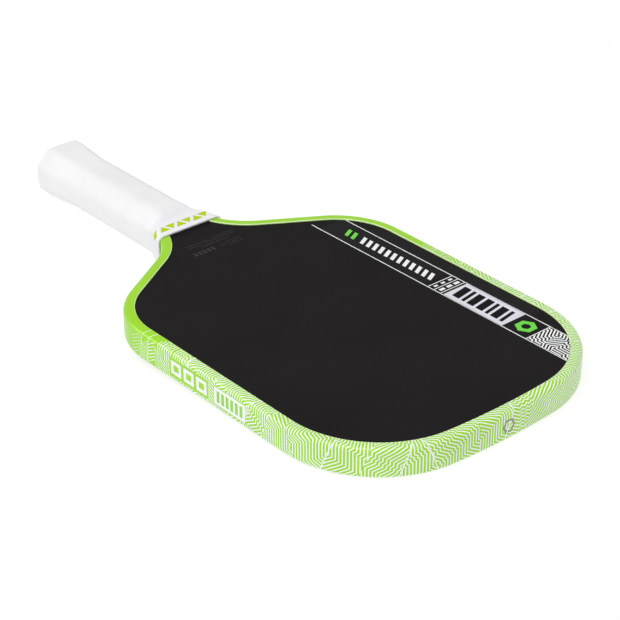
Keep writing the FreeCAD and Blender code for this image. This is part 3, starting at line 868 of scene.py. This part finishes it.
def collar_section(y):
    """Half width, half thickness, cuts and rounding of the collar's bell at y."""
    rise = y - COLLAR_LOW.y
    share = min(1.0, max(0.0, rise / (COLLAR_HIGH.y - COLLAR_LOW.y)))
    width = mix(COLLAR_RING[0], COLLAR_MOUTH[0], share ** 1.5)
    steep = smooth((rise - BELL_START) / (8.5 * MM))
    gentle = max(0.0, rise - BELL_START) / (19.5 * MM)
    height = mix(COLLAR_RING[1], COLLAR_MOUTH[1], 0.62 * steep + 0.38 * gentle)
    cut_across = mix(COLLAR_CUTS[0], COLLAR_CUTS[1], smooth((rise - 4 * MM) / (11 * MM)))
    cut_down = mix(COLLAR_CUTS[0], COLLAR_CUTS[2], smooth((rise - 4 * MM) / (7.5 * MM)))
    radius = mix(COLLAR_RING[2], COLLAR_MOUTH[2], share)
    return width, height, (cut_across, cut_down), radius


def collar_loop(y, inset=0.0):
    """Loop of the collar's outside at y, drawn in by inset."""
    half_width, half_thickness, cuts, radius = collar_section(y)
    ring = octagon_loop(y, half_width - inset, half_thickness - inset, cuts, radius, 8)
    return resample(ring, COLLAR_POINTS)


def on_collar(q, y, lift=0.0):
    """Point on the collar at distance q round it from the middle of the top."""
    ring = collar_loop(y)
    closed = [*ring, ring[0]]
    total = sum((b - a).length for a, b in zip(closed, closed[1:]))
    top = next(i for i in range(len(ring))
               if ring[i].z > 0 and ring[i].x * ring[(i + 1) % len(ring)].x <= 0)
    before, after = ring[top].x, ring[(top + 1) % len(ring)].x
    start = top + before / (before - after)
    place = (start + q / total * len(ring)) % len(ring)
    i = int(place)
    point = ring[i].lerp(ring[(i + 1) % len(ring)], place - i)
    ahead = collar_loop(y + 0.2 * MM)[i] - ring[i]
    side = ring[(i + 1) % len(ring)] - ring[i]
    normal = side.cross(ahead).normalized()
    if normal.dot(Vector((point.x, 0, point.z))) < 0:
        normal = -normal
    return point + normal * lift


def build_collar(rubber, green):
    """Stretched rubber sleeve with triangles printed round it near its mouth."""
    rows, inner_rows = 40, 10
    low, high = COLLAR_LOW.y, COLLAR_HIGH.y
    wall = 0.9 * MM
    lip = 0.3 * MM
    loops = [collar_loop(low, 0.5 * MM), collar_loop(low, 0.1 * MM)]
    first = low + 0.15 * MM
    for row in range(rows + 1):
        y = first + (high - lip - first) * row / rows
        loops.append(collar_loop(y))
    for share, inset in ((0.7, 0.12 * MM), (1.0, lip)):
        ring = collar_loop(high, inset)
        loops.append([Vector((p.x, high - lip * (1 - share), p.z)) for p in ring])
    loops.append([Vector((p.x, high, p.z)) for p in collar_loop(high, 1.05 * MM)])
    for row in range(inner_rows + 1):
        y = high - 1 * MM - (high - low - 2 * MM) * row / inner_rows
        loops.append(collar_loop(y, wall))
    piece = sweep("collar_sleeve", loops, rubber, sleeve=True)
    finish_piece(piece, "collar_rubber", "collar")
    triangles = []
    middle = 134.5 * MM
    ring = collar_loop(middle)
    around = sum((ring[i] - ring[i - 1]).length for i in range(len(ring)))
    per_face, pitch, start = 7, 6.2 * MM, -15.4 * MM
    half_base, half_height, side_gap = 3.7 * MM, 2.45 * MM, 1.2 * MM
    for i in range(2 * per_face):
        number = i % per_face
        q = start + pitch * number + (around / 2 if i >= per_face else 0.0)
        if number == per_face - 1:
            q += side_gap
        base_y = half_height if number % 2 else -half_height
        triangles.append([
            Vector((q - half_base, middle + base_y)),
            Vector((q + half_base, middle + base_y)),
            Vector((q, middle - base_y)),
        ])
    cuts_q = [around * (i - 40) / 160 for i in range(200)]
    cuts_y = [middle + (i - 4) * 0.575 * MM for i in range(9)]
    parts = cut_along(triangles, Vector((1, 0)), cuts_q)
    parts = cut_along(parts, Vector((0, 1)), cuts_y)
    print_piece("collar_triangles", parts, on_collar, 2, green)


def build_butt(plastic, badge_finish):
    """Butt cap with a rounded rim, and its blank domed badge."""
    rim = 0.8 * MM
    recess = BADGE_HIGH.x + 0.1 * MM
    count = 128
    half_width, half_thickness = CAP_HIGH.x - 0.15 * MM, CAP_HIGH.z - 0.15 * MM
    section = (half_width, half_thickness, (9.2 * MM, 9.2 * MM), 3.5 * MM)

    def ring(y, inset=0.0):
        loop = octagon_loop(y, section[0] - inset, section[1] - inset, *section[2:])
        return resample(loop, count)

    def circle(y, radius):
        outer = ring(y)
        flat = [Vector((p.x, 0, p.z)).normalized() * radius for p in outer]
        return [Vector((p.x, y, p.z)) for p in flat]

    floor = BADGE_HIGH.y
    loops = [circle(floor, 0.3 * MM), circle(floor, recess), circle(0.3 * MM, recess)]
    loops += [circle(0.0, recess + 0.3 * MM), ring(0.0, rim)]
    for k in range(1, 5):
        angle = math.pi / 2 * k / 4
        loops.append(ring(rim * (1 - math.cos(angle)), rim * (1 - math.sin(angle))))
    loops += [ring(CAP_LOW.y + 6 * MM), ring(CAP_LOW.y + 6 * MM, 2 * MM)]
    loops.append(circle(floor + 1.2 * MM, 0.3 * MM))
    cap = sweep("butt_cap_shell", loops, plastic)
    finish_piece(cap, "cap_plastic", "butt_cap")
    radius = BADGE_HIGH.x
    dome = 0.25 * MM
    rings = [circle(floor - 0.02 * MM, radius), circle(BADGE_LOW.y + dome, radius)]
    for k in range(1, 9):
        share = 1 - k / 9
        rings.append(circle(BADGE_LOW.y + dome * share ** 2, radius * share))
    badge = sweep("butt_badge_dome", rings, badge_finish)
    finish_piece(badge, "badge", "butt_badge")


# Print on both faces: a band of lines, bars and a pale block along one side

BAND_INNER, BAND_OUTER = -60.5 * MM, -80.5 * MM
BAND_MIDDLE = (BAND_INNER + BAND_OUTER) / 2
BAND_DIVIDERS = (288.5 * MM, 293.5 * MM, 299.0 * MM, 367.0 * MM)
BLOCK_LOW, BLOCK_HIGH = 301.0 * MM, 348.2 * MM
INK_LINE = 0.65 * MM


def face_limits():
    """Half planes that keep print inside the guard's lips, as (point, outward normal)."""
    limits = []
    for s in outline_stations():
        point, normal = outline_at(s)
        if point.y > SHOULDER_Y - 45 * MM:
            inner = point - normal * (LIP_REACH + 0.05 * MM)
            limits.append((inner, normal))
    return limits


def inside_lips(polygons):
    """Trim convex shapes where they reach under the guard's lips."""
    trimmed = []
    limits = face_limits()
    for polygon in polygons:
        centre = sum(polygon, Vector((0, 0))) / len(polygon)
        for point, normal in limits:
            if (point - centre).length < 30 * MM:
                polygon = clip(polygon, normal, point.dot(normal)) if polygon else []
        if polygon:
            trimmed.append(polygon)
    return trimmed


def stripe(x, low, high):
    """Line along Y, in short lengths."""
    pieces, step = [], 10 * MM
    count = math.ceil((high - low) / step)
    for i in range(count):
        near, far = low + (high - low) * i / count, low + (high - low) * (i + 1) / count
        pieces.append(rectangle(x - INK_LINE / 2, near, x + INK_LINE / 2, far))
    return pieces


def band_lines():
    """The band's two long lines and its dividers."""
    shapes = stripe(BAND_INNER, 185 * MM, 402 * MM) + stripe(BAND_OUTER, 188 * MM, 385 * MM)
    for y in BAND_DIVIDERS:
        shapes.append(rectangle(BAND_OUTER, y - 0.3 * MM, BAND_INNER, y + 0.3 * MM))
    return inside_lips(shapes)


def small_bars(count, first):
    """Row of slanted bars along the band, the first of them at y."""
    pitch, width, height, lean = 5.4 * MM, 2.9 * MM, 7.2 * MM, 3.6 * MM
    return [slanted(BAND_MIDDLE, first + pitch * i, width, height, lean)
            for i in range(count)]


def build_face_print(side, place, inks):
    """Everything printed on one face, with plain shapes where marks would be."""
    lines = band_lines() + small_bars(12, 221.6 * MM)
    for i in range(3):
        x = BAND_OUTER + (4.2 + 5.8 * i) * MM
        lines.append(rectangle(x - 2.0 * MM, 295.2 * MM, x + 2.0 * MM, 297.4 * MM))
        lines.append(rectangle(x - 1.4 * MM, 290.2 * MM, x + 1.4 * MM, 291.8 * MM))
    print_piece(f"band_lines_{side}", lines, place, 1, inks["white"])
    block = [rectangle(BAND_OUTER, BLOCK_LOW, BAND_INNER, BLOCK_HIGH)]
    print_piece(f"band_block_{side}", block, place, 1, inks["pale"])
    bars = []
    y, gap, wide, narrow = BLOCK_LOW + 3.0 * MM, 1.9, 5.4, 2.4
    for width in (wide, narrow, wide, wide, narrow, wide, narrow):
        bars.append(slanted(BAND_MIDDLE, y + width / 2 * MM, width * MM, 13.0 * MM, 2.2 * MM))
        y += (width + gap) * MM
    print_piece(f"band_block_bars_{side}", bars, place, 2, inks["dark"])
    mark = small_bars(2, 207.8 * MM) + hexagon_ring(BAND_MIDDLE, 357.8 * MM, 6.6 * MM, 3.0 * MM)
    print_piece(f"band_marks_{side}", mark, place, 1, inks["leaf"])
    chance = random.Random(MAZE_SEED + 5)
    turned = []
    low = BAND_DIVIDERS[-1] + 0.6 * MM
    for height, heading, crease in ((9.0, 0, 60), (8.0, 60, 0), (16.0, -60, 60)):
        region = rectangle(BAND_OUTER, low, BAND_INNER, low + height * MM)
        turned += maze(region, 0.95 * MM, 1.9 * MM, heading, crease, chance)
        low += height * MM
    print_piece(f"band_maze_{side}", inside_lips(turned), place, 1, inks["white"])
    build_faint_print(side, place, inks["grey"], inks["faint"])


def build_faint_print(side, place, grey, faint_grey):
    """Tone-on-tone hatching in and beside the band, and small dim bars near the throat."""
    faint = []
    for low_x, high_x, low, high in (
        (BAND_OUTER + 1 * MM, BAND_INNER - 1 * MM, 192 * MM, 284 * MM),
        (-91.0 * MM, BAND_OUTER - 1 * MM, 214 * MM, 352 * MM),
    ):
        region = rectangle(low_x, low, high_x, high)
        faint += ruled(region, direction(-22), 0.0, 0.65 * MM, 1.7 * MM)
    print_piece(f"face_faint_hatch_{side}", inside_lips(faint), place, 0.5, faint_grey)
    bars = frame_shape(-11.5 * MM, 170.0 * MM, 4.6 * MM, 2.6 * MM, 0.5 * MM)
    half_bar = 0.35
    for low, high, y in (
        (-20, -3, 158.0), (0, 17, 158.6), (-18, 4, 160.6), (7, 17, 161.2), (-12, 9, 163.8),
        (-14, -9, 170.0), (-5, -1, 170.0),
    ):
        bars.append(rectangle(low * MM, (y - half_bar) * MM, high * MM, (y + half_bar) * MM))
    for i in range(5):
        x = (3.4 + 3.3 * i) * MM
        bars.append(rectangle(x, 167.6 * MM, x + 2.1 * MM, 171.6 * MM))
    print_piece(f"face_dim_bars_{side}", bars, place, 0.5, grey)


# Stage, light and camera

WORLD_LIGHT = 0.56
KEY_LIGHT, KEY_SIZE = 16.5, 1.2
GLINT_LIGHT, GLINT_SIZE = 7.0, 0.55
FLOOR_GLOW = 0.78
LIGHT_AIM = (0.0, 0.2, 0.0)


def build_stage():
    """Pale floor that touches the start of the collar and the tip of the guard."""
    collar = Vector((0, COLLAR_LOW.y, -COLLAR_RING[1]))
    tip = Vector((0, GUARD_HIGH.y - GUARD_ROUND, GUARD_LOW.z))
    slope = (tip.z - collar.z) / (tip.y - collar.y)
    reach = 6.0
    corners = [(-reach, -reach), (reach, -reach), (reach, reach), (-reach, reach)]
    drop = 0.1 * MM
    points = [Vector((x, y, collar.z - drop + slope * (y - collar.y))) for x, y in corners]
    grey = (0.25, 0.25, 0.25)
    material, shader = plain_surface("stage_floor", grey, 0.01, 0.8, 30.0, 0.0)
    shader.inputs["Emission Color"].default_value = (1.0, 1.0, 1.0, 1.0)
    shader.inputs["Emission Strength"].default_value = FLOOR_GLOW
    make_object("stage_floor", points, [(0, 1, 2, 3)], material, smooth=False)


def add_light(name, place, size, power):
    """Square area light aimed at the paddle, as an object."""
    light = bpy.data.lights.new(name, "AREA")
    light.size = size
    light.energy = power
    lamp = bpy.data.objects.new(name, light)
    lamp.location = place
    aim = Vector(LIGHT_AIM) - Vector(place)
    lamp.rotation_euler = aim.to_track_quat("-Z", "Y").to_euler()
    bpy.context.scene.collection.objects.link(lamp)
    return lamp


def light_stage():
    """White surroundings, brightest at the horizon, a broad lamp high on the +X side, and
    one beyond the handle that only puts a glint on what is glossy.
    """
    world = bpy.data.worlds.new("studio")
    world.use_nodes = True
    tree = world.node_tree
    background = tree.nodes["Background"]
    background.inputs["Color"].default_value = (1.0, 1.0, 1.0, 1.0)
    coords = tree.nodes.new("ShaderNodeTexCoord").outputs["Generated"]
    split = tree.nodes.new("ShaderNodeSeparateXYZ")
    tree.links.new(coords, split.inputs["Vector"])
    height = combine(tree, "DIVIDE", split.outputs["Z"], 0.15)
    tree.links.new(map_range(tree, height, 1.0, WORLD_LIGHT), background.inputs["Strength"])
    bpy.context.scene.world = world
    add_light("key", (0.68, 0.42, 1.45), KEY_SIZE, KEY_LIGHT)
    glint = add_light("glint", (0.85, -1.0, 0.75), GLINT_SIZE, GLINT_LIGHT)
    glint.visible_diffuse = False
    bpy.context.scene.view_settings.view_transform = "Standard"


CAMERA_AIM = Vector((-1.2 * MM, 252.7 * MM, -0.8 * MM))
CAMERA_DISTANCE = 1.0978
CAMERA_AZIMUTH = math.radians(139.63)
CAMERA_ELEVATION = math.radians(29.80)
CAMERA_ROLL = math.radians(-0.22)
CAMERA_LENS = 110.27


def add_camera():
    """Camera beyond the tip, on the +X side, looking down at the paddle."""
    level = math.cos(CAMERA_ELEVATION)
    back = Vector((
        math.sin(CAMERA_AZIMUTH) * level,
        -math.cos(CAMERA_AZIMUTH) * level,
        math.sin(CAMERA_ELEVATION),
    ))
    lens = bpy.data.cameras.new("camera")
    lens.sensor_width = 36.0
    lens.lens = CAMERA_LENS
    camera = bpy.data.objects.new("camera", lens)
    turn = (-back).to_track_quat("-Z", "Y").to_matrix()
    roll = Matrix.Rotation(CAMERA_ROLL, 3, "Z")
    camera.matrix_world = Matrix.Translation(CAMERA_AIM + back * CAMERA_DISTANCE) @ (
        (turn @ roll).to_4x4()
    )
    bpy.context.scene.collection.objects.link(camera)
    bpy.context.scene.camera = camera


def paint_cad_nodes(carbon):
    """Give every CAD node that stays its own finish."""
    finishes = {"carbon_face": carbon}
    for slot, (colour, spread, roughness, grain) in INNER_FINISHES.items():
        finishes[slot], _ = plain_surface(slot, colour, spread, roughness, grain, 0.02 * MM)
    finishes["staple_steel"], _ = plain_surface(
        "staple_steel", (0.55, 0.55, 0.57), 0.05, 0.35, 900.0, 0.01 * MM, metallic=1.0
    )
    for subpart in frame["record"]["subparts"]:
        node = frame["nodes"][subpart["node"]]
        if subpart["material_slot"] in finishes:
            node.data.materials.clear()
            node.data.materials.append(finishes[subpart["material_slot"]])


def build():
    """Make every piece."""
    add_camera()
    white = ink("white_ink", (0.86, 0.88, 0.86))
    lime_ink = ink("lime_ink", (0.26, 0.62, 0.04))
    green = ink("green_ink", (0.455, 0.61, 0.003), 0.6, 0.10)
    face_inks = {
        "white": white,
        "pale": ink("pale_ink", (0.70, 0.70, 0.77)),
        "leaf": ink("leaf_ink", (0.13, 0.66, 0.04)),
        "dark": ink("dark_ink", (0.0055, 0.0055, 0.0065), 0.6, 0.06),
        "grey": ink("grey_ink", (0.036, 0.035, 0.036), 0.6, 0.06),
        "faint": ink("faint_ink", (0.022, 0.021, 0.022), 0.6, 0.06),
    }
    paint_cad_nodes(carbon_face())
    build_guard(guard_plastic())
    # Pale lime paint on the lips' inner walls and bevels: a painted highlight.
    build_lip_highlight(ink("lip_highlight_paint", (0.68, 0.88, 0.42)))
    build_guard_print(white, lime_ink, ink("slate_ink", (0.26, 0.26, 0.23)))
    build_face_print("front", on_front, face_inks)
    build_face_print("back", on_back, face_inks)
    build_grip(grip_leather())
    build_collar(collar_rubber(), green)
    plastic, _ = plain_surface("cap_plastic", (0.80, 0.80, 0.82), 0.03, 0.4, 700.0, 0.02 * MM)
    badge, _ = plain_surface("badge", (0.30, 0.66, 0.03), 0.03, 0.25, 300.0, 0.01 * MM)
    build_butt(plastic, badge)
    build_stage()
    light_stage()


build()
